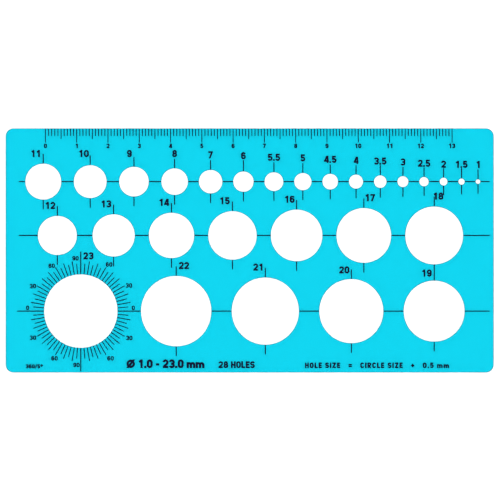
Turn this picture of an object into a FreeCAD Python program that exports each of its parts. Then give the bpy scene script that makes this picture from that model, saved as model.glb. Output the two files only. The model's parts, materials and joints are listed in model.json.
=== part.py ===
import FreeCAD, Part
import math
import os

from FreeCAD import Placement, Rotation, Vector
import Sketcher

# Circle template: one sheet of clear tinted plastic with 28 round holes in three rows,
# and everything that is printed on its upper face, kept as named groups of ink patches.
# Frame: origin under the middle of the sheet, on the surface it lies on. +X runs to the
# right along the ruler, +Y runs towards the ruler edge and +Z is up out of the print.

DIMENSIONS = {
    # the sheet
    "plate_length": 156.0,
    "plate_width": 78.0,
    "plate_thickness": 1.0,
    "corner_radius": 2.5,
    "rim_chamfer": 0.12,
    # a hole is cut this much wider than the circle that it draws, for the pencil's lead
    "pencil_allowance": 0.5,
    # rows of holes: the distance of the row from the ruler edge, the place of its first
    # hole from the left edge, and the plastic left between neighbouring holes
    "upper_row_depth": 17.0,
    "upper_row_start": 12.0,
    "upper_row_wide_web": 4.0,
    "upper_row_web": 3.5,
    "middle_row_depth": 34.2,
    "middle_row_start": 16.5,
    "middle_row_wide_web": 5.0,
    "middle_row_web": 4.5,
    "lower_row_depth": 58.4,
    "lower_row_start": 24.0,
    "lower_row_wide_web": 7.5,
    "lower_row_web": 6.5,
    # print
    "ink_thickness": 0.03,
    "line_width": 0.3,
    "fine_line_width": 0.24,
    "mark_length": 3.1,
    "line_end_margin": 1.3,
    # ruler
    "ruler_zero": 12.7,
    "centimetre": 10.0,
    "centimetre_line": 4.4,
    "half_centimetre_line": 3.3,
    "millimetre_line": 2.3,
    "ruler_numeral_height": 1.45,
    "ruler_numeral_baseline": 6.3,
    # protractor round the largest hole
    "ten_degree_radius": 16.15,
    "five_degree_radius": 15.2,
    "protractor_numeral_height": 1.4,
    # lettering
    "size_numeral_height": 2.25,
}

RULER_CENTIMETRES = 13
PROTRACTOR_SIZE = 23

# Each row: the circles that it draws, from left to right, how many of its webs are wide
# ones, where its centre line starts from the left edge, and each numeral's place as
# (side of the mark, gap to the mark, rise of the baseline above the hole).
ROWS = {
    "upper_row": {
        "sizes": [11, 10, 9, 8, 7, 6, 5.5, 5, 4.5, 4, 3.5, 3, 2.5, 2, 1.5, 1],
        "wide_webs": 3,
        "line_start": 4.2,
        "numerals": [
            ("left", 1.10, 2.1),
            ("left", 0.45, 2.6),
            ("left", 0.70, 3.1),
            ("over", 0.60, 3.6),
            ("over", 0.60, 3.7),
            ("over", 0.30, 3.9),
            ("over", 0.50, 3.65),
            ("over", 0.50, 3.7),
            ("over", 0.55, 3.5),
            ("over", 0.50, 3.45),
            ("over", 0.25, 3.45),
            ("over", 0.50, 3.4),
            ("over", 0.25, 3.25),
            ("over", 0.20, 3.2),
            ("over", 0.10, 3.4),
            ("over", 0.50, 3.6),
        ],
    },
    "middle_row": {
        "sizes": [12, 13, 14, 15, 16, 17, 18],
        "wide_webs": 1,
        "line_start": 4.2,
        "numerals": [
            ("left", 0.65, 2.2),
            ("left", 0.80, 2.2),
            ("left", 0.80, 2.2),
            ("left", 0.90, 2.2),
            ("left", 0.65, 2.2),
            ("right", 0.50, 2.2),
            ("right", -0.20, 2.2),
        ],
    },
    "lower_row": {
        "sizes": [23, 22, 21, 20, 19],
        "wide_webs": 1,
        "line_start": 3.6,
        "numerals": [
            ("right", 0.80, 4.8),
            ("right", 0.86, 2.2),
            ("left", 0.93, 2.2),
            ("left", 0.65, 1.8),
            ("left", 0.83, 1.3),
        ],
    },
}

# Marks above and below a hole that are not the usual length, as (above, below). The 23
# mark is the protractor's 90 degree line, and the 19 mark runs up to meet the 18 mark.
SPECIAL_MARKS = {23: (7.3, 7.45), 19: (2.1, 3.1)}

# Protractor numerals, each with the place of its middle from the middle of the hole.
PROTRACTOR_NUMERALS = [
    ("90", -1.7, 16.9),
    ("60", 9.05, 14.9),
    ("30", 15.4, 8.2),
    ("0", 16.8, 1.05),
    ("30", 15.5, -8.6),
    ("60", 9.5, -15.1),
    ("90", -1.4, -17.2),
    ("60", -8.4, -15.1),
    ("30", -15.3, -8.5),
    ("0", -17.0, 1.05),
    ("30", -15.3, 8.0),
    ("60", -9.3, 14.5),
]

# Legends along the lower edge: text, start from the left edge, baseline from the ruler
# edge, height, stroke width as a share of the height, and extra space between letters.
LEGENDS = {
    "protractor_legend": ("360/5°", 6.4, 76.7, 1.3, 0.24, 0.0),
    "size_range_legend": ("Ø 1.0 - 23.0 mm", 38.5, 76.6, 2.75, 0.25, -0.04),
    "hole_count_legend": ("28 HOLES", 68.0, 76.6, 2.15, 0.23, 0.0),
    "allowance_legend": (
        "HOLE SIZE   =   CIRCLE SIZE   +   0.5 mm", 95.7, 76.6, 1.75, 0.24, 0.1
    ),
}

# stroke widths as a share of the lettering's height
SIZE_WEIGHT = 0.225
RULER_WEIGHT = 0.25
PROTRACTOR_WEIGHT = 0.22

doc = FreeCAD.newDocument("circle_template")


# ---------------------------------------------------------------- driving dimensions

sheet = doc.addObject("Spreadsheet::Sheet", "Dimensions")
for line_number, (alias, value) in enumerate(DIMENSIONS.items(), start=1):
    sheet.set(f"A{line_number}", alias)
    sheet.set(f"B{line_number}", str(value))
    sheet.setAlias(f"B{line_number}", alias)
doc.recompute()


def dim(alias):
    """Value of one driving dimension, for shapes that are worked out in Python."""
    return float(sheet.get(alias))


def row_web(row, index):
    """Alias of the web that lies before hole number index of a row."""
    return f"{row}_wide_web" if index <= ROWS[row]["wide_webs"] else f"{row}_web"


def hole_diameter_expression(size):
    return f"{size} + Dimensions.pencil_allowance"


def hole_x_expression(row, index):
    """Distance of a hole's centre from the left edge, as a formula of the sheet."""
    terms = [f"Dimensions.{row}_start"]
    sizes = ROWS[row]["sizes"]
    for step in range(1, index + 1):
        terms.append(f"({sizes[step - 1]} + {sizes[step]}) / 2")
        terms.append("Dimensions.pencil_allowance")
        terms.append(f"Dimensions.{row_web(row, step)}")
    return " + ".join(terms)


def hole_x(row, index):
    """The same distance as a number."""
    sizes = ROWS[row]["sizes"]
    x = dim(f"{row}_start")
    for step in range(1, index + 1):
        x += (sizes[step - 1] + sizes[step]) / 2
        x += dim("pencil_allowance") + dim(row_web(row, step))
    return x


def hole_radius(size):
    return (size + dim("pencil_allowance")) / 2


def on_plate(x, depth):
    """Point of the upper face, from its distances to the left edge and the ruler edge."""
    return Vector(
        x - dim("plate_length") / 2,
        dim("plate_width") / 2 - depth,
        dim("plate_thickness"),
    )


def place_from_edges(feature, path, x, depth, z):
    """Bind a placement to distances from the left edge and from the ruler edge."""
    feature.setExpression(f"{path}.x", f"{x} - Dimensions.plate_length / 2")
    feature.setExpression(f"{path}.y", f"Dimensions.plate_width / 2 - ({depth})")
    feature.setExpression(f"{path}.z", z)


# ------------------------------------------------------------------- sketch helpers


def new_body(name):
    body = doc.addObject("PartDesign::Body", name)
    body.Label = name
    body.AllowCompound = True
    return body


def new_sketch(body, name):
    """Sketch on the body's own horizontal origin plane."""
    sketch = body.newObject("Sketcher::SketchObject", name)
    for feature in body.Origin.OriginFeatures:
        if feature.Role == "XY_Plane":
            sketch.AttachmentSupport = [(feature, "")]
    sketch.MapMode = "FlatFace"
    return sketch


def bind(sketch, constraint, expression):
    """Add a driving constraint and give it its formula."""
    number = sketch.addConstraint(constraint)
    sketch.setExpression(f"Constraints[{number}]", expression)


def add_rectangle(sketch, width, height):
    """Closed rectangle of four lines, corner by corner from the lower left one."""
    corners = [
        Vector(0, 0, 0),
        Vector(width, 0, 0),
        Vector(width, height, 0),
        Vector(0, height, 0),
    ]
    first = sketch.GeometryCount
    for corner, following in zip(corners, corners[1:] + corners[:1]):
        sketch.addGeometry(Part.LineSegment(corner, following), False)
    for side in range(4):
        sketch.addConstraint(
            Sketcher.Constraint("Coincident", first + side, 2, first + (side + 1) % 4, 1)
        )
    for side, direction in enumerate(["Horizontal", "Vertical"] * 2):
        sketch.addConstraint(Sketcher.Constraint(direction, first + side))
    return first


def pad(body, sketch, length):
    feature = body.newObject("PartDesign::Pad", f"{sketch.Name}_pad")
    feature.Profile = sketch
    feature.setExpression("Length", length)
    return feature


# ------------------------------------------------------------------------ the sheet


def build_plate():
    """Rounded sheet with three rows of holes, and a fine chamfer round every rim."""
    body = new_body("template_plate")

    outline = new_sketch(body, "plate_outline")
    length = DIMENSIONS["plate_length"]
    width = DIMENSIONS["plate_width"]
    first = add_rectangle(outline, length, width)
    outline.addConstraint(Sketcher.Constraint("Symmetric", first, 1, first + 1, 2, -1, 1))
    bind(
        outline,
        Sketcher.Constraint("DistanceX", first, 1, first, 2, length),
        "Dimensions.plate_length",
    )
    bind(
        outline,
        Sketcher.Constraint("DistanceY", first + 1, 1, first + 1, 2, width),
        "Dimensions.plate_width",
    )
    blank = pad(body, outline, "Dimensions.plate_thickness")
    doc.recompute()

    corners = body.newObject("PartDesign::Fillet", "rounded_corners")
    corners.Base = (blank, upright_edges(blank.Shape))
    corners.setExpression("Radius", "Dimensions.corner_radius")
    doc.recompute()

    base = corners
    for row in ROWS:
        base = cut_row(body, row, base)

    rims = body.newObject("PartDesign::Chamfer", "rim_chamfers")
    rims.Base = (base, rim_edges(base.Shape))
    rims.setExpression("Size", "Dimensions.rim_chamfer")
    doc.recompute()
    return body


def cut_row(body, row, base):
    """Pocket one row of holes. Its sketch starts where the row meets the left edge."""
    holes = new_sketch(body, f"{row}_holes")
    place_from_edges(
        holes, "AttachmentOffset.Base", "0", f"Dimensions.{row}_depth", "0"
    )
    for index, size in enumerate(ROWS[row]["sizes"]):
        x = hole_x(row, index)
        radius = hole_radius(size)
        circle = holes.addGeometry(
            Part.Circle(Vector(x, 0, 0), Vector(0, 0, 1), radius), False
        )
        holes.addConstraint(Sketcher.Constraint("PointOnObject", circle, 3, -1))
        bind(
            holes,
            Sketcher.Constraint("DistanceX", -1, 1, circle, 3, x),
            hole_x_expression(row, index),
        )
        bind(
            holes,
            Sketcher.Constraint("Diameter", circle, 2 * radius),
            hole_diameter_expression(size),
        )
    volume_before = base.Shape.Volume
    pocket = body.newObject("PartDesign::Pocket", f"{row}_pocket")
    pocket.Profile = holes
    pocket.Type = "ThroughAll"
    pocket.Reversed = True
    doc.recompute()
    expected = dim("plate_thickness") * sum(
        math.pi * hole_radius(size) ** 2 for size in ROWS[row]["sizes"]
    )
    if abs(volume_before - pocket.Shape.Volume - expected) > 1.0:
        raise RuntimeError(f"the {row} holes did not cut the sheet")
    return pocket


def upright_edges(shape):
    """Names of the edges that run straight up through the thickness."""
    names = []
    for number, edge in enumerate(shape.Edges, start=1):
        low, high = edge.Vertexes[0].Point, edge.Vertexes[-1].Point
        if abs(high.z - low.z) > dim("plate_thickness") / 2:
            names.append(f"Edge{number}")
    return names


def rim_edges(shape):
    """Names of the edges that lie flat in the upper or the lower face."""
    names = []
    for number, edge in enumerate(shape.Edges, start=1):
        if edge.BoundBox.ZLength < 1e-6:
            names.append(f"Edge{number}")
    return names


# ------------------------------------------------------------------ ruler and dial


def ruler_lines(name, offsets, line_length, first_millimetre, repeats):
    """Ruler lines that hang from the upper edge, repeated once a centimetre."""
    body = new_body(name)
    sketch = new_sketch(body, f"{name}_sketch")
    place_from_edges(
        sketch,
        "AttachmentOffset.Base",
        f"Dimensions.ruler_zero + {first_millimetre}",
        "Dimensions.rim_chamfer + Dimensions." + line_length,
        "Dimensions.plate_thickness",
    )
    width = DIMENSIONS["fine_line_width"]
    height = DIMENSIONS[line_length]
    for offset in offsets:
        first = add_rectangle(sketch, width, height)
        sketch.addConstraint(Sketcher.Constraint("PointOnObject", first, 1, -1))
        if offset == 0:
            bind(
                sketch,
                Sketcher.Constraint("DistanceX", first, 1, -1, 1, width / 2),
                "Dimensions.fine_line_width / 2",
            )
        else:
            bind(
                sketch,
                Sketcher.Constraint("DistanceX", -1, 1, first, 1, offset - width / 2),
                f"{offset} - Dimensions.fine_line_width / 2",
            )
        bind(
            sketch,
            Sketcher.Constraint("DistanceX", first, 1, first, 2, width),
            "Dimensions.fine_line_width",
        )
        bind(
            sketch,
            Sketcher.Constraint("DistanceY", first + 1, 1, first + 1, 2, height),
            "Dimensions." + line_length,
        )
    lines = pad(body, sketch, "Dimensions.ink_thickness")
    doc.recompute()
    pattern = body.newObject("PartDesign::LinearPattern", f"{name}_pattern")
    pattern.Originals = [lines]
    pattern.Direction = (sketch, ["H_Axis"])
    pattern.Occurrences = repeats
    pattern.setExpression("Length", f"{repeats - 1} * Dimensions.centimetre")
    body.Tip = pattern
    doc.recompute()
    return body


def protractor_lines(name, angles, outer_radius, repeats):
    """Radial lines round the largest hole, repeated in equal turns of the full circle."""
    body = new_body(name)
    sizes = ROWS["lower_row"]["sizes"]
    patterned = []
    for angle in angles:
        sketch = new_sketch(body, f"{name}_{angle}_sketch")
        sketch.AttachmentOffset = Placement(Vector(), Rotation(Vector(0, 0, 1), angle))
        place_from_edges(
            sketch,
            "AttachmentOffset.Base",
            hole_x_expression("lower_row", sizes.index(PROTRACTOR_SIZE)),
            "Dimensions.lower_row_depth",
            "Dimensions.plate_thickness",
        )
        inner = hole_radius(PROTRACTOR_SIZE) + DIMENSIONS["rim_chamfer"]
        width = DIMENSIONS["fine_line_width"]
        length = DIMENSIONS[outer_radius] - inner
        first = add_rectangle(sketch, length, width)
        inner_expression = rim_radius_expression(PROTRACTOR_SIZE)
        bind(
            sketch,
            Sketcher.Constraint("DistanceY", first, 1, -1, 1, width / 2),
            "Dimensions.fine_line_width / 2",
        )
        bind(
            sketch,
            Sketcher.Constraint("DistanceX", -1, 1, first, 1, inner),
            inner_expression,
        )
        bind(
            sketch,
            Sketcher.Constraint("DistanceX", first, 1, first, 2, length),
            f"Dimensions.{outer_radius} - ({inner_expression})",
        )
        bind(
            sketch,
            Sketcher.Constraint("DistanceY", first + 1, 1, first + 1, 2, width),
            "Dimensions.fine_line_width",
        )
        patterned.append(pad(body, sketch, "Dimensions.ink_thickness"))
        doc.recompute()
    pattern = body.newObject("PartDesign::PolarPattern", f"{name}_pattern")
    pattern.Originals = patterned
    pattern.Axis = (patterned[0].Profile[0], ["N_Axis"])
    pattern.Angle = 360
    pattern.Occurrences = repeats
    body.Tip = pattern
    doc.recompute()
    return body


# ------------------------------------------------------- centre lines and hole marks


def ink_bar(name, x, depth, length, width):
    """One printed bar on the upper face, from its left end and its upper side."""
    bar = doc.addObject("Part::Box", name)
    bar.setExpression("Length", length)
    bar.setExpression("Width", width)
    bar.setExpression("Height", "Dimensions.ink_thickness")
    place_from_edges(
        bar, "Placement.Base", x, f"{depth} + ({width})", "Dimensions.plate_thickness"
    )
    return bar


def ink_group(name, bars):
    """One node of several printed bars."""
    group = doc.addObject("Part::Compound", name)
    group.Label = name
    group.Links = bars
    doc.recompute()
    return group


def rim_radius_expression(size):
    """Radius of the edge of the flat face round a hole, where the print stops."""
    return f"({hole_diameter_expression(size)}) / 2 + Dimensions.rim_chamfer"


def centre_line(row):
    """The line through all the hole centres of a row, in one bar for each web."""
    sizes = ROWS[row]["sizes"]
    begins = [str(ROWS[row]["line_start"])]
    ends = []
    for index, size in enumerate(sizes):
        centre = hole_x_expression(row, index)
        rim = rim_radius_expression(size)
        ends.append(f"{centre} - ({rim})")
        begins.append(f"{centre} + {rim}")
    ends.append("Dimensions.plate_length - Dimensions.line_end_margin")
    bars = []
    for number, (begin, end) in enumerate(zip(begins, ends)):
        bars.append(
            ink_bar(
                f"{row}_line_bar_{number}",
                begin,
                f"Dimensions.{row}_depth - Dimensions.line_width / 2",
                f"{end} - ({begin})",
                "Dimensions.line_width",
            )
        )
    return ink_group(f"{row}_centre_line", bars)


def mark_lengths(row, index):
    """How far a hole's marks run beyond it, above and below. One may stop at a numeral."""
    size = ROWS[row]["sizes"][index]
    if size in SPECIAL_MARKS:
        above, below = SPECIAL_MARKS[size]
        return str(above), str(below)
    side, gap, rise = ROWS[row]["numerals"][index]
    usual = "Dimensions.mark_length"
    if side == "over":
        return f"{rise - gap:.2f}", usual
    return usual, usual


def centre_marks(row):
    """The upright marks above and below each hole of a row."""
    bars = []
    for index, size in enumerate(ROWS[row]["sizes"]):
        above, below = mark_lengths(row, index)
        left = f"{hole_x_expression(row, index)} - Dimensions.line_width / 2"
        depth = f"Dimensions.{row}_depth"
        radius = f"({hole_diameter_expression(size)}) / 2"
        rim = rim_radius_expression(size)
        tops = {
            "upper": (f"{depth} - {radius} - {above}", above),
            "lower": (f"{depth} + {rim}", below),
        }
        for side, (top, length) in tops.items():
            bars.append(
                ink_bar(
                    f"{row}_{side}_mark_{index}",
                    left,
                    top,
                    "Dimensions.line_width",
                    f"{length} - Dimensions.rim_chamfer",
                )
            )
    return ink_group(f"{row}_centre_marks", bars)


# ------------------------------------------------------------------------ lettering


# Each character is drawn one unit high. A full-sized figure is WIDE units wide, and the
# next character starts GAP units after it.
WIDE = 0.68
GAP = 0.09


class Lettering:
    """Plain upright strokes of one height and weight, cut from a sheet of ink."""

    def __init__(self, height, weight, ink):
        self.height = height
        self.half = weight / 2
        self.ink = ink
        self.glyphs = {}
        # where the middle of the stroke runs in a full-sized figure
        self.left = self.half
        self.middle = WIDE / 2
        self.right = WIDE - self.half
        self.lower = self.half
        self.upper = 1 - self.half
        self.round = (self.right - self.left) / 2

    def bar(self, x0, y0, x1, y1):
        """Straight stroke with square ends, in heights of the lettering."""
        start = Vector(x0, y0, 0)
        along = Vector(x1, y1, 0) - start
        side = Vector(-along.y, along.x, 0).normalize() * self.half
        corners = [start + side, start - side, start - side + along, start + side + along]
        return self.fill(corners)

    def slant(self, x0, y0, x1, y1):
        """Sloping stroke whose two ends are cut level."""
        rise = abs(y1 - y0)
        reach = self.half * math.hypot(x1 - x0, y1 - y0) / rise
        corners = [
            Vector(x0 - reach, y0, 0),
            Vector(x0 + reach, y0, 0),
            Vector(x1 + reach, y1, 0),
            Vector(x1 - reach, y1, 0),
        ]
        return self.fill(corners)

    def fill(self, corners):
        """Straight-sided patch of ink, from its corners in heights of the lettering."""
        points = [corner * self.height for corner in corners]
        face = Part.Face(Part.makePolygon(points + points[:1]))
        return face.extrude(Vector(0, 0, self.ink))

    def bow(self, x, y, radius, begin, end):
        """Round stroke of the given radius, from one angle anticlockwise to another."""
        centre = Vector(x, y, 0) * self.height
        up = Vector(0, 0, 1)
        sweep = end - begin
        outer = (radius + self.half) * self.height
        inner = (radius - self.half) * self.height
        disc = Part.makeCylinder(outer, self.ink, centre, up, sweep)
        ring = disc.cut(Part.makeCylinder(inner, self.ink, centre, up, sweep))
        ring.rotate(centre, up, begin)
        return ring

    def glyph(self, letter):
        """Solid of one character, standing on its baseline, and its advance."""
        if letter not in self.glyphs:
            strokes, advance = GLYPHS[letter](self)
            solid = None
            if strokes:
                solid = strokes[0]
                if len(strokes) > 1:
                    solid = solid.multiFuse(strokes[1:]).removeSplitter()
            self.glyphs[letter] = (solid, advance)
        return self.glyphs[letter]

    def text(self, words, tracking=0.0):
        """Compound of the characters in a line, with the first one's ink at x = 0."""
        x = 0.0
        solids = []
        for letter in words:
            solid, advance = self.glyph(letter)
            if solid is not None:
                placed = solid.copy()
                placed.translate(Vector(x, 0, 0))
                solids.extend(placed.Solids)
            x += (advance + tracking) * self.height
        line = Part.Compound(solids)
        line.translate(Vector(-line.BoundBox.XMin, 0, 0))
        return line


def draw_zero(pen):
    strokes = [
        pen.bow(pen.middle, pen.upper - pen.round, pen.round, 0, 180),
        pen.bow(pen.middle, pen.lower + pen.round, pen.round, 180, 360),
        pen.bar(pen.left, pen.lower + pen.round, pen.left, pen.upper - pen.round),
        pen.bar(pen.right, pen.lower + pen.round, pen.right, pen.upper - pen.round),
    ]
    return strokes, WIDE + GAP


def draw_one(pen):
    stem = 0.42
    strokes = [
        pen.bar(stem, 0, stem, 1),
        pen.bar(0.14, 0.70, stem, 0.90),
    ]
    return strokes, WIDE + GAP


def draw_two(pen):
    turn = math.radians(45)
    x = pen.middle + pen.round * math.cos(turn)
    y = pen.upper - pen.round - pen.round * math.sin(turn)
    strokes = [
        pen.bow(pen.middle, pen.upper - pen.round, pen.round, -45, 170),
        pen.bar(x, y, x - y + pen.lower, pen.lower),
        pen.bar(0.03, pen.lower, WIDE - 0.03, pen.lower),
    ]
    return strokes, WIDE + GAP


def draw_three(pen):
    bowl = (pen.upper - pen.lower) / 4
    inset = pen.right - bowl
    strokes = [
        pen.bow(pen.left + bowl, pen.upper - bowl, bowl, 90, 165),
        pen.bar(pen.left + bowl, pen.upper, inset, pen.upper),
        pen.bow(inset, pen.upper - bowl, bowl, -90, 90),
        pen.bar(pen.middle - 0.08, 0.5, inset, 0.5),
        pen.bow(inset, pen.lower + bowl, bowl, -90, 90),
        pen.bar(pen.left + bowl, pen.lower, inset, pen.lower),
        pen.bow(pen.left + bowl, pen.lower + bowl, bowl, 195, 270),
    ]
    return strokes, WIDE + GAP


def draw_four(pen):
    stem = pen.right - 0.06
    shelf = 0.26
    strokes = [
        pen.bar(stem, 0, stem, 1),
        pen.bar(0, shelf, WIDE, shelf),
        pen.slant(pen.left + 0.01, shelf, stem - 0.06, 1),
    ]
    return strokes, WIDE + GAP


def draw_five(pen):
    turn = math.radians(140)
    x = pen.middle + pen.round * math.cos(turn)
    y = pen.lower + pen.round + pen.round * math.sin(turn)
    strokes = [
        pen.bar(x, y - pen.half / 2, pen.left + 0.06, 1),
        pen.bar(pen.left + 0.03, pen.upper, pen.right + 0.04, pen.upper),
        pen.bow(pen.middle, pen.lower + pen.round, pen.round, -165, 140),
    ]
    return strokes, WIDE + GAP


def draw_six(pen):
    strokes = [
        pen.bow(pen.middle, pen.lower + pen.round, pen.round, 0, 360),
        pen.bar(pen.left, pen.lower + pen.round, pen.left, pen.upper - pen.round),
        pen.bow(pen.middle, pen.upper - pen.round, pen.round, 20, 180),
    ]
    return strokes, WIDE + GAP


def draw_seven(pen):
    strokes = [
        pen.bar(0.02, pen.upper, WIDE - 0.02, pen.upper),
        pen.slant(pen.middle - 0.12, 0, pen.right - 0.03, pen.upper),
    ]
    return strokes, WIDE + GAP


def draw_eight(pen):
    bowl = (pen.upper - pen.lower) / 4
    strokes = [
        pen.bow(pen.middle, pen.upper - bowl, bowl, 0, 360),
        pen.bow(pen.left + bowl, pen.lower + bowl, bowl, 90, 270),
        pen.bow(pen.right - bowl, pen.lower + bowl, bowl, -90, 90),
        pen.bar(pen.left + bowl, pen.lower, pen.right - bowl, pen.lower),
        pen.bar(pen.left + bowl, 0.5, pen.right - bowl, 0.5),
    ]
    return strokes, WIDE + GAP


def draw_nine(pen):
    """The six, turned upside down."""
    strokes = [
        pen.bow(pen.middle, pen.upper - pen.round, pen.round, 0, 360),
        pen.bar(pen.right, pen.lower + pen.round, pen.right, pen.upper - pen.round),
        pen.bow(pen.middle, pen.lower + pen.round, pen.round, 200, 360),
    ]
    return strokes, WIDE + GAP


def draw_point(pen):
    side = pen.half * 2
    return [pen.bar(0, pen.half, side, pen.half)], side + GAP


def draw_hyphen(pen):
    return [pen.bar(0.04, 0.42, 0.42, 0.42)], 0.46 + GAP


def draw_plus(pen):
    strokes = [
        pen.bar(0.04, 0.45, 0.64, 0.45),
        pen.bar(0.34, 0.15, 0.34, 0.75),
    ]
    return strokes, WIDE + GAP


def draw_equals(pen):
    strokes = [
        pen.bar(0.04, 0.30, 0.64, 0.30),
        pen.bar(0.04, 0.62, 0.64, 0.62),
    ]
    return strokes, WIDE + GAP


def draw_slash(pen):
    return [pen.slant(0.10, 0, 0.38, 1)], 0.46 + GAP


def draw_degree(pen):
    radius = 0.17
    centre = radius + pen.half
    return [pen.bow(centre, 1 - centre, radius, 0, 360)], 2 * centre + GAP


def draw_diameter(pen):
    """Ring with a stroke through it."""
    radius = 0.36
    centre = radius + pen.half
    strokes = [
        pen.bow(centre, 0.5, radius, 0, 360),
        pen.slant(centre - 0.38, 0, centre + 0.38, 1),
    ]
    return strokes, 2 * centre + GAP


def draw_small_m(pen):
    """Two equal arches on three legs."""
    arch = 0.19
    top = 0.68 - pen.half
    left = pen.half
    strokes = [pen.bar(left, 0, left, 0.68)]
    for number in range(2):
        centre = left + arch + number * 2 * arch
        strokes.append(pen.bow(centre, top - arch, arch, 0, 180))
        strokes.append(pen.bar(centre + arch, 0, centre + arch, top - arch))
    return strokes, left + 4 * arch + pen.half + GAP


def draw_capital_c(pen):
    """The zero, open on its right side."""
    strokes = [
        pen.bow(pen.middle, pen.upper - pen.round, pen.round, 15, 180),
        pen.bar(pen.left, pen.lower + pen.round, pen.left, pen.upper - pen.round),
        pen.bow(pen.middle, pen.lower + pen.round, pen.round, 180, 345),
    ]
    return strokes, WIDE + GAP


def draw_capital_h(pen):
    strokes = [
        pen.bar(pen.left, 0, pen.left, 1),
        pen.bar(pen.right, 0, pen.right, 1),
        pen.bar(pen.left, 0.5, pen.right, 0.5),
    ]
    return strokes, WIDE + GAP


def draw_capital_l(pen):
    strokes = [
        pen.bar(pen.left, 0, pen.left, 1),
        pen.bar(pen.left, pen.lower, pen.right, pen.lower),
    ]
    return strokes, pen.right + GAP


def draw_capital_e(pen):
    strokes = [
        pen.bar(pen.left, 0, pen.left, 1),
        pen.bar(pen.left, pen.lower, pen.right, pen.lower),
        pen.bar(pen.left, 0.5, pen.right - 0.04, 0.5),
        pen.bar(pen.left, pen.upper, pen.right, pen.upper),
    ]
    return strokes, pen.right + GAP


def draw_capital_i(pen):
    return [pen.bar(pen.half, 0, pen.half, 1)], 2 * pen.half + GAP


def draw_capital_r(pen):
    bowl = (pen.upper - 0.46) / 2
    inset = pen.right - bowl
    strokes = [
        pen.bar(pen.left, 0, pen.left, 1),
        pen.bar(pen.left, pen.upper, inset, pen.upper),
        pen.bow(inset, pen.upper - bowl, bowl, -90, 90),
        pen.bar(pen.left, 0.46, inset, 0.46),
        pen.slant(pen.right - 0.02, 0, inset - 0.04, 0.46),
    ]
    return strokes, WIDE + GAP


def draw_capital_s(pen):
    bowl = (pen.upper - pen.lower) / 4
    strokes = [
        pen.bow(pen.right - bowl, pen.upper - bowl, bowl, 15, 90),
        pen.bar(pen.left + bowl, pen.upper, pen.right - bowl, pen.upper),
        pen.bow(pen.left + bowl, pen.upper - bowl, bowl, 90, 270),
        pen.bar(pen.left + bowl, 0.5, pen.right - bowl, 0.5),
        pen.bow(pen.right - bowl, pen.lower + bowl, bowl, -90, 90),
        pen.bar(pen.left + bowl, pen.lower, pen.right - bowl, pen.lower),
        pen.bow(pen.left + bowl, pen.lower + bowl, bowl, 195, 270),
    ]
    return strokes, WIDE + GAP


def draw_capital_z(pen):
    strokes = [
        pen.bar(0.02, pen.upper, WIDE - 0.02, pen.upper),
        pen.bar(0.02, pen.lower, WIDE - 0.02, pen.lower),
        pen.slant(pen.left + 0.04, pen.lower, pen.right - 0.04, pen.upper),
    ]
    return strokes, WIDE + GAP


def draw_space(pen):
    return [], 0.34


GLYPHS = {
    "0": draw_zero,
    "1": draw_one,
    "2": draw_two,
    "3": draw_three,
    "4": draw_four,
    "5": draw_five,
    "6": draw_six,
    "7": draw_seven,
    "8": draw_eight,
    "9": draw_nine,
    ".": draw_point,
    "-": draw_hyphen,
    "+": draw_plus,
    "=": draw_equals,
    "/": draw_slash,
    "°": draw_degree,
    "Ø": draw_diameter,
    "m": draw_small_m,
    "C": draw_capital_c,
    "H": draw_capital_h,
    "O": draw_zero,
    "L": draw_capital_l,
    "E": draw_capital_e,
    "S": draw_capital_s,
    "I": draw_capital_i,
    "R": draw_capital_r,
    "Z": draw_capital_z,
    " ": draw_space,
}


def print_texts(name, texts):
    """One node of lettering from (compound, its lower left point on the sheet)."""
    solids = []
    for line, place in texts:
        placed = line.copy()
        placed.translate(place)
        solids.extend(placed.Solids)
    node = doc.addObject("Part::Feature", name)
    node.Shape = Part.Compound(solids)
    node.Label = name
    node.Placement = Placement(on_plate(0, 0), Rotation())
    return node


def size_numerals(row):
    """The numerals of one row of holes, beside or over the mark of each hole."""
    pen = Lettering(dim("size_numeral_height"), SIZE_WEIGHT, dim("ink_thickness"))
    texts = []
    for index, size in enumerate(ROWS[row]["sizes"]):
        side, gap, rise = ROWS[row]["numerals"][index]
        line = pen.text(str(size))
        x = hole_x(row, index)
        if side == "left":
            x -= gap + line.BoundBox.XLength
        elif side == "right":
            x += gap
        else:
            x -= line.BoundBox.XLength / 2
        baseline = dim(f"{row}_depth") - hole_radius(size) - rise
        texts.append((line, Vector(x, -baseline, 0)))
    return print_texts(f"{row}_numerals", texts)


def ruler_numerals():
    """The centimetre numbers, each centred under its line."""
    pen = Lettering(dim("ruler_numeral_height"), RULER_WEIGHT, dim("ink_thickness"))
    texts = []
    for centimetre in range(RULER_CENTIMETRES + 1):
        line = pen.text(str(centimetre))
        x = dim("ruler_zero") + centimetre * dim("centimetre")
        x -= line.BoundBox.XLength / 2
        texts.append((line, Vector(x, -dim("ruler_numeral_baseline"), 0)))
    return print_texts("ruler_numerals", texts)


def protractor_numerals():
    """The degree numbers round the largest hole, all upright."""
    height = dim("protractor_numeral_height")
    pen = Lettering(height, PROTRACTOR_WEIGHT, dim("ink_thickness"))
    index = ROWS["lower_row"]["sizes"].index(PROTRACTOR_SIZE)
    centre_x = hole_x("lower_row", index)
    texts = []
    for number, x, y in PROTRACTOR_NUMERALS:
        line = pen.text(number)
        left = centre_x + x - line.BoundBox.XLength / 2
        base = y - height / 2 - dim("lower_row_depth")
        texts.append((line, Vector(left, base, 0)))
    return print_texts("protractor_numerals", texts)


def legend(name):
    words, x, baseline, height, weight, tracking = LEGENDS[name]
    pen = Lettering(height, weight, dim("ink_thickness"))
    return print_texts(name, [(pen.text(words, tracking), Vector(x, -baseline, 0))])


# ------------------------------------------------------------------------- assembly


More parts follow.
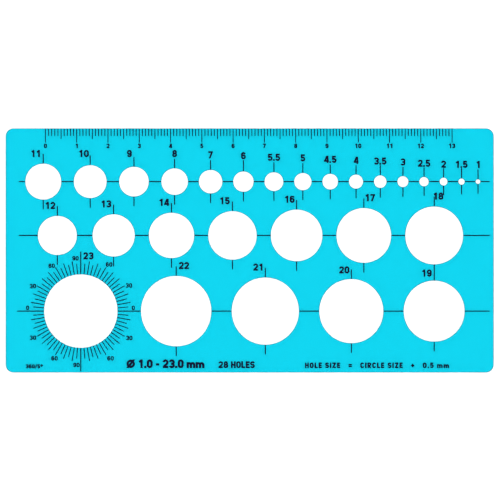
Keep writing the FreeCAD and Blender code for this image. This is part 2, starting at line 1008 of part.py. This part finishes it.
def build_all():
    nodes = [build_plate()]
    nodes.append(
        ruler_lines(
            "ruler_centimetre_lines", [0], "centimetre_line", 0, RULER_CENTIMETRES + 1
        )
    )
    nodes.append(
        ruler_lines(
            "ruler_half_centimetre_lines",
            [0],
            "half_centimetre_line",
            5,
            RULER_CENTIMETRES,
        )
    )
    millimetres = [1, 2, 3, 4, 6, 7, 8, 9]
    nodes.append(
        ruler_lines(
            "ruler_millimetre_lines",
            millimetres,
            "millimetre_line",
            0,
            RULER_CENTIMETRES,
        )
    )
    nodes.append(ruler_numerals())
    for row in ROWS:
        nodes.append(centre_line(row))
        nodes.append(centre_marks(row))
        nodes.append(size_numerals(row))
    # the four lines on the cross of the dial belong to the centre line and its marks
    ten_degrees = range(10, 90, 10)
    nodes.append(
        protractor_lines(
            "protractor_ten_degree_lines", ten_degrees, "ten_degree_radius", 4
        )
    )
    nodes.append(
        protractor_lines("protractor_five_degree_lines", [5], "five_degree_radius", 36)
    )
    nodes.append(protractor_numerals())
    for name in LEGENDS:
        nodes.append(legend(name))
    doc.recompute()
    return nodes


def check_and_export(nodes):
    """Stop on any failed object or bad shape, then write one STEP file per node."""
    for feature in doc.Objects:
        if "Invalid" in feature.State or "Error" in feature.State:
            raise RuntimeError(f"{feature.Label} did not compute: {feature.State}")
    for node in nodes:
        if node.Shape.isNull() or not node.Shape.isValid() or not node.Shape.Solids:
            raise RuntimeError(f"{node.Label} has no valid solid")
    os.makedirs("parts", exist_ok=True)
    for node in nodes:
        node.Shape.exportStep(f"parts/{node.Label}.step")
        print(node.Label, len(node.Shape.Solids), round(node.Shape.Volume, 3))


check_and_export(build_all())
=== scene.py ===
import json
import math

import bpy
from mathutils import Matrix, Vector
from mathutils.geometry import delaunay_2d_cdt


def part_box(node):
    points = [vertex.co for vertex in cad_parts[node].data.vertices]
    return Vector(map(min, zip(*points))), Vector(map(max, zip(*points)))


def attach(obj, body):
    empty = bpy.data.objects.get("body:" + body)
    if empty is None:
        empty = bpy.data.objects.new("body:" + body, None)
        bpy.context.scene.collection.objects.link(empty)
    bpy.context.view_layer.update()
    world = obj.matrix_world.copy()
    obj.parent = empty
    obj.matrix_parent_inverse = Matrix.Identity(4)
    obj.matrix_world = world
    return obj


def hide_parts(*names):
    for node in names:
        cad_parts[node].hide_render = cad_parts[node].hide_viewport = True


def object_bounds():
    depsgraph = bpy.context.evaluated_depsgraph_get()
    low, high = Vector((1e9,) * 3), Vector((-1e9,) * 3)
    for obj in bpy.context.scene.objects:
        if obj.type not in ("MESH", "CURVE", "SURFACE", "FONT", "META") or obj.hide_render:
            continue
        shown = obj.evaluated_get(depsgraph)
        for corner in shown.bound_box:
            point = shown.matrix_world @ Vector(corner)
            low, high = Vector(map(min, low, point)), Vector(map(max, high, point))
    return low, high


# Circle template: one sheet of clear cyan plastic with rows of round holes and black
# print on its upper face, lying on a white floor and seen from straight above.
# Everything is in metres, in the CAD frame.

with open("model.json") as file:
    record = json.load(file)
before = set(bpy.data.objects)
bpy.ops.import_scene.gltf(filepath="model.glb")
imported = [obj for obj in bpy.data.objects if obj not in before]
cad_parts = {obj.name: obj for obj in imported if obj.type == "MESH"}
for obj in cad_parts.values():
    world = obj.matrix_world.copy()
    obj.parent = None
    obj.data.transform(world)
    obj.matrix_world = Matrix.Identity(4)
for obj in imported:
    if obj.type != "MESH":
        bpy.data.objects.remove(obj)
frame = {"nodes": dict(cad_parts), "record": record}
cad_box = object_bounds()

MM = 0.001

# ------------------------------------------------------------------ the clear sheet

# millimetres
CORNER_RADIUS = 2.5
RIM_RADIUS = 0.12
CHORD_ERROR = 0.002

RIM_STEPS = 4

# for delaunay_2d_cdt: triangles inside the outer border only, how near two points are one,
# and where its result holds the triangles
INSIDE_BORDER = 1
SAME_POINT = 1e-6
TRIANGLES = 2

QUARTER_TURN = math.pi / 2


def sides_of(radius):
    """How many sides a circle needs to stay within the chord error: a multiple of 4."""
    sides = math.pi / math.acos(1 - CHORD_ERROR / radius)
    return 4 * math.ceil(sides / 4)


def outline(low, high):
    """Round the sheet anticlockwise: (point, direction out of the plastic)."""
    steps = sides_of(CORNER_RADIUS) // 4
    left, right = low.x + CORNER_RADIUS, high.x - CORNER_RADIUS
    front, back = low.y + CORNER_RADIUS, high.y - CORNER_RADIUS
    middles = [(right, back), (left, back), (left, front), (right, front)]
    loop = []
    for quarter, middle in enumerate(middles):
        for step in range(steps + 1):
            turn = QUARTER_TURN * (quarter + step / steps)
            away = Vector((math.cos(turn), math.sin(turn)))
            loop.append((Vector(middle) + CORNER_RADIUS * away, away))
    return loop


def hole(centre, radius):
    """Round a hole clockwise: (point, direction out of the plastic)."""
    steps = sides_of(radius)
    loop = []
    for step in range(steps):
        turn = -2 * math.pi * step / steps
        away = Vector((-math.cos(turn), -math.sin(turn)))
        loop.append((centre - radius * away, away))
    return loop


def wall_profile(thickness):
    """Section of a wall from the lower face to the upper one: (inset, height)."""
    lower, upper = [], []
    for step in range(RIM_STEPS + 1):
        turn = QUARTER_TURN * step / RIM_STEPS
        inset = RIM_RADIUS * (1 - math.sin(turn))
        rise = RIM_RADIUS * (1 - math.cos(turn))
        lower.append((inset, rise))
        upper.append((inset, thickness - rise))
    return lower + upper[::-1]


def face_triangles(loops):
    """Triangles of the flat face between the outline and the holes."""
    points, edges, owner = [], [], []
    for number, loop in enumerate(loops):
        first = len(points)
        points += loop
        owner += [number] * len(loop)
        for step in range(len(loop)):
            edges.append((first + step, first + (step + 1) % len(loop)))
    border = [list(range(len(loops[0])))]
    result = delaunay_2d_cdt(points, edges, border, INSIDE_BORDER, SAME_POINT)
    triangles = []
    for corners in result[TRIANGLES]:
        rims = {owner[corner] for corner in corners}
        # a triangle that has all its corners on one hole lies inside that hole
        if len(rims) > 1 or rims == {0}:
            triangles.append(corners)
    return triangles


def build_sheet():
    """The sheet with rounded rims, finer than the CAD node that it stands for."""
    low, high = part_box("template_plate")
    low, high = low / MM, high / MM
    loops = [outline(low, high)]
    for mount in frame["record"]["mounts"]:
        if mount["kind"] == "bore":
            centre = Vector(mount["pos_m"][:2]) / MM
            loops.append(hole(centre, mount["dims"]["r_mm"]))

    profile = wall_profile(high.z - low.z)
    vertices, faces, smooth = [], [], []
    rim_points = []
    ring_starts = []
    for loop in loops:
        ring_starts.append(len(vertices))
        count = len(loop)
        for inset, height in profile:
            for point, away in loop:
                spot = point - inset * away
                vertices.append((spot.x, spot.y, low.z + height))
        for ring in range(len(profile) - 1):
            here = ring_starts[-1] + ring * count
            above = here + count
            for step in range(count):
                following = (step + 1) % count
                faces.append((here + step, here + following, above + following, above + step))
                smooth.append(True)
        rim_points.append([point - RIM_RADIUS * away for point, away in loop])

    lower_ids, upper_ids = [], []
    for start, loop in zip(ring_starts, loops):
        last = start + (len(profile) - 1) * len(loop)
        lower_ids += range(start, start + len(loop))
        upper_ids += range(last, last + len(loop))
    for a, b, c in face_triangles(rim_points):
        faces.append((upper_ids[a], upper_ids[b], upper_ids[c]))
        faces.append((lower_ids[c], lower_ids[b], lower_ids[a]))
        smooth += [False, False]

    mesh = bpy.data.meshes.new("clear_sheet")
    mesh.from_pydata([Vector(v) * MM for v in vertices], [], faces)
    mesh.polygons.foreach_set("use_smooth", smooth)
    # shading runs smoothly round each wall, and breaks from one ring to the next
    for edge in mesh.edges:
        begin, end = (mesh.vertices[number].co.z for number in edge.vertices)
        edge.use_edge_sharp = begin == end
    sheet = bpy.data.objects.new("clear_sheet", mesh)
    bpy.context.scene.collection.objects.link(sheet)
    return sheet


# ------------------------------------------------------------------------ materials

# sockets with doubled names: a Map Range node's From Min, From Max, To Min and To Max, and
# a Mix node's A, B and Result for colours
RANGE_LIMITS = slice(1, 5)
MIX_A = 6
MIX_B = 7
MIX_RESULT = 2


class Nodes:
    """Short names for building one material's node tree."""

    def __init__(self, name):
        self.material = bpy.data.materials.new(name)
        self.material.use_nodes = True
        self.tree = self.material.node_tree
        self.shader = self.tree.nodes["Principled BSDF"]
        self.output = self.tree.nodes["Material Output"]
        self.place = self.add("ShaderNodeTexCoord").outputs["Object"]

    def add(self, kind, **values):
        node = self.tree.nodes.new(kind)
        for socket, value in values.items():
            node.inputs[socket.replace("_", " ")].default_value = value
        return node

    def link(self, source, target):
        self.tree.links.new(source, target)

    def noise(self, size, detail=2.0, stretch=(1, 1, 1), turn=0.0):
        """Noise whose features are about size millimetres across."""
        mapping = self.add("ShaderNodeMapping")
        mapping.inputs["Scale"].default_value = stretch
        mapping.inputs["Rotation"].default_value = (0, 0, turn)
        self.link(self.place, mapping.inputs["Vector"])
        noise = self.add("ShaderNodeTexNoise", Scale=1 / (size * MM), Detail=detail)
        self.link(mapping.outputs["Vector"], noise.inputs["Vector"])
        return noise.outputs["Fac"]

    def spread(self, value, low, high, start=0.3, end=0.7):
        """The value's start to end stretched over low to high."""
        ranged = self.add("ShaderNodeMapRange")
        for socket, number in zip(ranged.inputs[RANGE_LIMITS], (start, end, low, high)):
            socket.default_value = number
        self.link(value, ranged.inputs["Value"])
        return ranged.outputs["Result"]

    def by_slope(self, wall, rim, face):
        """One colour for the upright walls, one for the rounded rims, one for the faces."""
        parts = self.add("ShaderNodeSeparateXYZ")
        geometry = self.add("ShaderNodeNewGeometry")
        self.link(geometry.outputs["True Normal"], parts.inputs["Vector"])
        level = self.add("ShaderNodeMath")
        level.operation = "ABSOLUTE"
        self.link(parts.outputs["Z"], level.inputs[0])
        ramp = self.add("ShaderNodeValToRGB")
        ramp.color_ramp.interpolation = "CONSTANT"
        stops = ramp.color_ramp.elements
        stops[0].color = (*wall, 1)
        stops[1].position = FACE_START
        stops[1].color = (*face, 1)
        stops.new(RIM_START).color = (*rim, 1)
        self.link(level.outputs["Value"], ramp.inputs["Fac"])
        return ramp.outputs["Color"]

    def mixed(self, value, first, second):
        """Colour between first and second by value."""
        mix = self.add("ShaderNodeMix")
        mix.data_type = "RGBA"
        mix.inputs[MIX_A].default_value = (*first, 1)
        mix.inputs[MIX_B].default_value = (*second, 1)
        self.link(value, mix.inputs["Factor"])
        return mix.outputs[MIX_RESULT]

    def bump(self, height, distance):
        """Normal of a relief whose depth is the given distance in millimetres."""
        bump = self.add("ShaderNodeBump", Strength=1.0, Distance=distance * MM)
        self.link(height, bump.inputs["Height"])
        return bump.outputs["Normal"]


# how level a surface is, as the size of its normal's Z, at which walls turn into rims and
# rims into faces
RIM_START = 0.1
FACE_START = 0.99

# what is left of white that is seen through the faces, the rims and the walls; the rims'
# colour also holds painted shade
FACE_TINT = (0.0052, 0.636, 0.83)
# painted shade: the rims are much darker than the faces, drawing the dark outline that light
# bent away at the rounded edges gives round the sheet and every hole
RIM_TINT_AND_PAINTED_SHADE = (0.0012, 0.14, 0.20)
WALL_TINT = (0.01, 0.45, 0.65)
# what the cut edges, less clear than the faces, leave of a lamp's light
EDGE_SHADE = (0.5, 0.8, 0.85)


def clear_plastic():
    """Glossy clear acrylic, deeper in colour at its cut edges, with painted shade on its
    rounded rims.
    """
    nodes = Nodes("cyan_clear_plastic")
    shader = nodes.shader
    # base colour by slope, with painted shade on the rims
    tint_and_painted_rim_shade = nodes.by_slope(WALL_TINT, RIM_TINT_AND_PAINTED_SHADE, FACE_TINT)
    nodes.link(tint_and_painted_rim_shade, shader.inputs["Base Color"])
    shader.inputs["IOR"].default_value = 1.49
    shader.inputs["Transmission Weight"].default_value = 1.0

    # handling marks: slightly duller patches
    smudges = nodes.spread(nodes.noise(size=9.0, detail=4.0), low=0.015, high=0.05)
    nodes.link(smudges, shader.inputs["Roughness"])

    # very fine rubbing scratches along the sheet
    scratches = nodes.noise(size=0.35, detail=3.0, stretch=(0.04, 1, 1), turn=0.12)
    nodes.link(nodes.bump(scratches, distance=0.0006), shader.inputs["Normal"])

    # light on its way to the floor goes straight through
    rays = nodes.add("ShaderNodeLightPath")
    straight = nodes.add("ShaderNodeBsdfTransparent")
    shade = nodes.by_slope(EDGE_SHADE, EDGE_SHADE, (1, 1, 1))
    nodes.link(shade, straight.inputs["Color"])
    surface = shader.outputs["BSDF"]
    for ray in ("Is Diffuse Ray", "Is Shadow Ray"):
        chosen = nodes.add("ShaderNodeMixShader")
        nodes.link(rays.outputs[ray], chosen.inputs["Fac"])
        nodes.link(surface, chosen.inputs[1])
        nodes.link(straight.outputs["BSDF"], chosen.inputs[2])
        surface = chosen.outputs["Shader"]
    nodes.link(surface, nodes.output.inputs["Surface"])
    return nodes.material


THICK_INK = (0.001, 0.004, 0.020)
THIN_INK = (0.004, 0.009, 0.034)


def printed_ink():
    """Screen printed black ink: nearly matt, with a faintly uneven film."""
    nodes = Nodes("black_printed_ink")
    shader = nodes.shader
    film = nodes.spread(nodes.noise(size=0.5, detail=3.0), low=0, high=1)
    nodes.link(nodes.mixed(film, THICK_INK, THIN_INK), shader.inputs["Base Color"])
    gloss = nodes.spread(nodes.noise(size=1.2), low=0.3, high=0.42)
    nodes.link(gloss, shader.inputs["Roughness"])
    shader.inputs["Specular IOR Level"].default_value = 0.08
    grain = nodes.noise(size=0.06, detail=1.0)
    nodes.link(nodes.bump(grain, distance=0.004), shader.inputs["Normal"])
    return nodes.material


CARD_GREY = (0.86, 0.86, 0.86)
CARD_WHITE = (0.88, 0.88, 0.88)


def white_floor():
    """Smooth white card."""
    nodes = Nodes("white_card")
    shader = nodes.shader
    fibres = nodes.noise(size=0.4, detail=4.0)
    tone = nodes.mixed(nodes.spread(fibres, low=0, high=1), CARD_GREY, CARD_WHITE)
    nodes.link(tone, shader.inputs["Base Color"])
    shader.inputs["Roughness"].default_value = 0.9
    shader.inputs["Specular IOR Level"].default_value = 0.2
    nodes.link(nodes.bump(fibres, distance=0.01), shader.inputs["Normal"])
    return nodes.material


def assign(piece, material):
    piece.data.materials.clear()
    piece.data.materials.append(material)


# --------------------------------------------------------------------- the template

sheet = build_sheet()
assign(sheet, clear_plastic())
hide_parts("template_plate")
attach(sheet, "root")

ink = printed_ink()
for name, node in frame["nodes"].items():
    if name != "template_plate":
        assign(node, ink)

# ------------------------------------------------------------- floor, light, camera

FLOOR_SIZE = 3.0
FLOOR_GAP = 0.05 * MM


def build_floor():
    half = FLOOR_SIZE / 2
    z = cad_box[0][2] - FLOOR_GAP
    corners = [(-half, -half, z), (half, -half, z), (half, half, z), (-half, half, z)]
    mesh = bpy.data.meshes.new("floor")
    mesh.from_pydata(corners, [], [(0, 1, 2, 3)])
    floor = bpy.data.objects.new("floor", mesh)
    bpy.context.scene.collection.objects.link(floor)
    assign(floor, white_floor())
    return floor


WORLD_STRENGTH = 0.4
ZENITH_DARK = 0.02
# the sine of the height over the horizon at which the sky starts and ends its fall to dark
ZENITH_START = 0.955
ZENITH_END = 0.985


def build_world():
    """White all round, with a dark patch overhead that the sheet's face mirrors."""
    world = bpy.data.worlds.new("studio")
    world.use_nodes = True
    tree = world.node_tree
    direction = tree.nodes.new("ShaderNodeTexCoord").outputs["Generated"]
    parts = tree.nodes.new("ShaderNodeSeparateXYZ")
    fall = tree.nodes.new("ShaderNodeMapRange")
    fall.interpolation_type = "SMOOTHSTEP"
    values = (ZENITH_START, ZENITH_END, WORLD_STRENGTH, ZENITH_DARK)
    for socket, number in zip(fall.inputs[RANGE_LIMITS], values):
        socket.default_value = number
    tree.links.new(direction, parts.inputs["Vector"])
    tree.links.new(parts.outputs["Z"], fall.inputs["Value"])
    tree.links.new(fall.outputs["Result"], tree.nodes["Background"].inputs["Strength"])
    tree.nodes["Background"].inputs["Color"].default_value = (1, 1, 1, 1)
    bpy.context.scene.world = world


# name, place, size, power in watts, and whether the sheet mirrors it and shows it through
SOFTBOXES = [
    ("overhead_softbox", (0, 0, 1.1), (0.5, 0.5), 10.5, False),
    ("left_softbox", (-0.75, 0.25, 0.6), (0.7, 0.5), 1.2, True),
    ("right_softbox", (0.75, -0.25, 0.6), (0.7, 0.5), 1.0, True),
]


def softbox(name, place, size, power, seen):
    """Large soft light that faces the middle of the sheet."""
    light = bpy.data.lights.new(name, "AREA")
    light.shape = "RECTANGLE"
    light.size, light.size_y = size
    light.energy = power
    lamp = bpy.data.objects.new(name, light)
    lamp.location = place
    lamp.rotation_euler = (-Vector(place)).to_track_quat("-Z", "Y").to_euler()
    lamp.visible_glossy = seen
    lamp.visible_transmission = seen
    bpy.context.scene.collection.objects.link(lamp)


# how much the camera sees at the height of the print, and the point that it looks at
VIEW_WIDTH = 159.85 * MM
AIM = Vector((0.1, 0.14)) * MM
# millimetres
LENS = 200.0
SENSOR = 36.0


def build_camera():
    """Long lens straight above the sheet, with the ruler edge at the top."""
    data = bpy.data.cameras.new("camera")
    data.type = "PERSP"
    data.lens = LENS
    data.sensor_width = SENSOR
    data.clip_start = 0.01
    camera = bpy.data.objects.new("camera", data)
    height = VIEW_WIDTH * LENS / SENSOR
    camera.location = (AIM.x, AIM.y, cad_box[1][2] + height)
    bpy.context.scene.collection.objects.link(camera)
    bpy.context.scene.camera = camera


build_floor()
build_world()
for settings in SOFTBOXES:
    softbox(*settings)
build_camera()

# light that enters at a cut edge is thrown back and forth between the faces many times
CLEAR_BOUNCES = 48
DIFFUSE_BOUNCES = 4
# how many pixels wide the filter is that softens the picture
FILTER_WIDTH = 1.3

scene = bpy.context.scene
scene.view_settings.view_transform = "Standard"
scene.view_settings.look = "None"
scene.cycles.use_denoising = True
scene.cycles.max_bounces = CLEAR_BOUNCES
scene.cycles.transmission_bounces = CLEAR_BOUNCES
scene.cycles.glossy_bounces = CLEAR_BOUNCES
scene.cycles.diffuse_bounces = DIFFUSE_BOUNCES
scene.cycles.filter_width = FILTER_WIDTH
